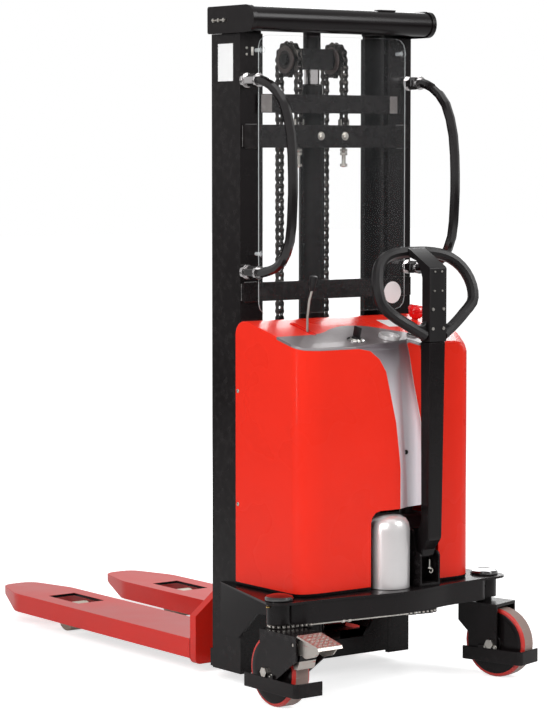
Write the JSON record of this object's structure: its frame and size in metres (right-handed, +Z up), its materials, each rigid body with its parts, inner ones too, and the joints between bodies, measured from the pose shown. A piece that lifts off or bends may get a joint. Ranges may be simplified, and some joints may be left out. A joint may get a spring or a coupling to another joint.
{
  "type": "walkie stacker",
  "caption": "Electric-lift walkie stacker: two-stage chain mast, fork-over legs, guarded rear wheels steered by a tiller through a chain, red moulded power cover and clear guard.",
  "frame": {"origin": "on the floor, under the middle of the machine seen from above", "axes": "+Z up, +Y towards the fork tips, +X to the right of the operator at the tiller"},
  "size_m": [0.7931, 1.708, 1.7232],
  "materials": {
    "black_paint": "semi-gloss black powder coat",
    "fork_red": "semi-gloss red powder coat",
    "cover_red": "glossy red moulded cover",
    "console_grey": "glossy metallic grey",
    "hood_silver": "silver paint",
    "zinc": "zinc plated",
    "chrome": "bright chrome",
    "chain_steel": "dark oiled steel",
    "black_plastic": "matte black moulded plastic and rubber grip",
    "tread_red": "smooth red polyurethane",
    "roller_beige": "nylon",
    "clear_acrylic": "clear acrylic sheet",
    "stop_red": "glossy red plastic",
    "battery_grey": "dark grey plastic"
  },
  "bodies": {
    "chassis": {"outer_mast": "black_paint", "lift_cylinder_barrel": "black_paint", "cylinder_gland": "black_paint", "chain_anchor_left": "zinc", "chain_anchor_right": "zinc", "support_leg_left": "black_paint", "support_leg_right": "black_paint", "base_frame": "black_paint", "steering_chain": "chain_steel", "power_cover": "cover_red", "console_panel": "console_grey", "battery_gauge": "hood_silver", "charging_socket": "black_plastic", "motor_hood": "hood_silver", "battery": "battery_grey", "pump_unit": "battery_grey", "guard_screen": "clear_acrylic", "grab_handle_left": "black_plastic", "grab_handle_right": "black_plastic", "lower_handle_fitting_left": "chrome", "lower_handle_fitting_right": "chrome", "upper_handle_fitting_left": "chrome", "upper_handle_fitting_right": "chrome"},
    "lifting_mast": {"inner_mast": "black_paint", "piston_rod": "chrome", "sprocket_bar": "black_paint", "chain_wrap_left": "chain_steel", "chain_wrap_right": "chain_steel", "anchor_chain_left": "chain_steel", "anchor_chain_right": "chain_steel"},
    "carriage": {"fork_carriage": "black_paint", "fork_left": "fork_red", "fork_right": "fork_red", "carriage_chain_left": "chain_steel", "carriage_chain_right": "chain_steel"},
    "steered_fork": {"steer_fork": "black_paint", "foot_guard_left": "black_paint"},
    "brake": {"brake_pedal": "zinc"},
    "left_wheel": {"wheel_hub_left": "black_paint", "wheel_tread_left": "tread_red"},
    "caster": {"caster_fork": "black_paint", "foot_guard_right": "black_paint"},
    "right_wheel": {"wheel_hub_right": "black_paint", "wheel_tread_right": "tread_red"},
    "tiller_swivel": {"tiller_bracket": "black_paint"},
    "tiller": {"tiller_arm": "black_paint", "tiller_head": "black_plastic"},
    "stop_button": {"emergency_stop": "stop_red"},
    "key": {"key_switch": "black_plastic"},
    "lever": {"lift_lever": "zinc"},
    "sprocket_left": {"sprocket_left": "chain_steel"},
    "mast_roller_left": {"mast_roller_left": "zinc"},
    "load_roller_left": {"load_roller_left": "roller_beige"},
    "lower_carriage_roller_left": {"lower_carriage_roller_left": "zinc"},
    "upper_carriage_roller_left": {"upper_carriage_roller_left": "zinc"},
    "sprocket_right": {"sprocket_right": "chain_steel"},
    "mast_roller_right": {"mast_roller_right": "zinc"},
    "load_roller_right": {"load_roller_right": "roller_beige"},
    "lower_carriage_roller_right": {"lower_carriage_roller_right": "zinc"},
    "upper_carriage_roller_right": {"upper_carriage_roller_right": "zinc"}
  },
  "joints": [
    {"name": "mast_lift", "type": "slide", "parent": "chassis", "child": "lifting_mast", "axis": [0, 0, 1], "range_m": [0, 1.2], "deforming": ["anchor_chain_left", "anchor_chain_right"]},
    {"name": "carriage_lift", "type": "slide", "parent": "lifting_mast", "child": "carriage", "axis": [0, 0, 1], "range_m": [0, 1.2], "deforming": ["carriage_chain_left", "carriage_chain_right"]},
    {"name": "sprocket_left_turn", "type": "hinge", "parent": "lifting_mast", "child": "sprocket_left", "pos_m": [-0.092, -0.3365, 1.594], "axis": [1, 0, 0], "continuous": true},
    {"name": "mast_roller_left_turn", "type": "hinge", "parent": "lifting_mast", "child": "mast_roller_left", "pos_m": [-0.266, -0.3415, 0.1145], "axis": [1, 0, 0], "continuous": true},
    {"name": "lower_carriage_roller_left_turn", "type": "hinge", "parent": "carriage", "child": "lower_carriage_roller_left", "pos_m": [-0.2275, -0.3415, 0.2], "axis": [1, 0, 0], "continuous": true},
    {"name": "upper_carriage_roller_left_turn", "type": "hinge", "parent": "carriage", "child": "upper_carriage_roller_left", "pos_m": [-0.2275, -0.3415, 0.375], "axis": [1, 0, 0], "continuous": true},
    {"name": "load_roller_left_turn", "type": "hinge", "parent": "chassis", "child": "load_roller_left", "pos_m": [-0.198, 0.5265, 0.04], "axis": [1, 0, 0], "continuous": true},
    {"name": "sprocket_right_turn", "type": "hinge", "parent": "lifting_mast", "child": "sprocket_right", "pos_m": [0.056, -0.3365, 1.594], "axis": [1, 0, 0], "continuous": true},
    {"name": "mast_roller_right_turn", "type": "hinge", "parent": "lifting_mast", "child": "mast_roller_right", "pos_m": [0.23, -0.3415, 0.1145], "axis": [1, 0, 0], "continuous": true},
    {"name": "lower_carriage_roller_right_turn", "type": "hinge", "parent": "carriage", "child": "lower_carriage_roller_right", "pos_m": [0.1915, -0.3415, 0.2], "axis": [1, 0, 0], "continuous": true},
    {"name": "upper_carriage_roller_right_turn", "type": "hinge", "parent": "carriage", "child": "upper_carriage_roller_right", "pos_m": [0.1915, -0.3415, 0.375], "axis": [1, 0, 0], "continuous": true},
    {"name": "load_roller_right_turn", "type": "hinge", "parent": "chassis", "child": "load_roller_right", "pos_m": [0.162, 0.5265, 0.04], "axis": [1, 0, 0], "continuous": true},
    {"name": "tiller_steer", "type": "hinge", "parent": "chassis", "child": "tiller_swivel", "pos_m": [0.08, -0.6825, 0.262], "axis": [0, 0, 1], "range_deg": [-50, 50]},
    {"name": "tiller_tilt", "type": "hinge", "parent": "tiller_swivel", "child": "tiller", "pos_m": [0.08, -0.6745, 0.345], "axis": [1, 0, 0], "range_deg": [0, 80], "stiffness_Nm_per_rad": 40, "springref_deg": -17.19},
    {"name": "wheel_steer", "type": "hinge", "parent": "chassis", "child": "steered_fork", "pos_m": [-0.352, -0.6405, 0.262], "axis": [0, 0, 1], "range_deg": [-50, 50]},
    {"name": "left_wheel_roll", "type": "hinge", "parent": "steered_fork", "child": "left_wheel", "pos_m": [-0.352, -0.6445, 0.09], "axis": [1, 0, 0], "continuous": true},
    {"name": "brake_press", "type": "hinge", "parent": "steered_fork", "child": "brake", "pos_m": [-0.352, -0.7525, 0.172], "axis": [1, 0, 0], "range_deg": [0, 3], "stiffness_Nm_per_rad": 20, "springref_deg": -5.73},
    {"name": "caster_swivel", "type": "hinge", "parent": "chassis", "child": "caster", "pos_m": [0.316, -0.6405, 0.262], "axis": [0, 0, 1], "continuous": true},
    {"name": "right_wheel_roll", "type": "hinge", "parent": "caster", "child": "right_wheel", "pos_m": [0.32951, -0.6876, 0.09], "axis": [0.9613, 0.2756, 0], "continuous": true},
    {"name": "stop_press", "type": "slide", "parent": "chassis", "child": "stop_button", "axis": [0, 0.2436, -0.9699], "range_m": [0, 0.004], "stiffness_N_per_m": 2000, "springref_m": -0.002},
    {"name": "key_turn", "type": "hinge", "parent": "chassis", "child": "key", "pos_m": [-0.097, -0.6205, 0.88853], "axis": [0, -0.2436, 0.9699], "range_deg": [-90, 0]},
    {"name": "lever_swing", "type": "hinge", "parent": "chassis", "child": "lever", "pos_m": [-0.184, -0.5335, 0.88], "axis": [1, 0, 0], "range_deg": [-12, 12], "stiffness_Nm_per_rad": 4}
  ],
  "couplings": [
    {"joint": "carriage_lift", "follows": "mast_lift", "ratio": 1},
    {"joint": "wheel_steer", "follows": "tiller_steer", "ratio": 1},
    {"joint": "sprocket_left_turn", "follows": "mast_lift", "rad_per_m": 25.125},
    {"joint": "sprocket_right_turn", "follows": "mast_lift", "rad_per_m": 25.125}
  ]
}
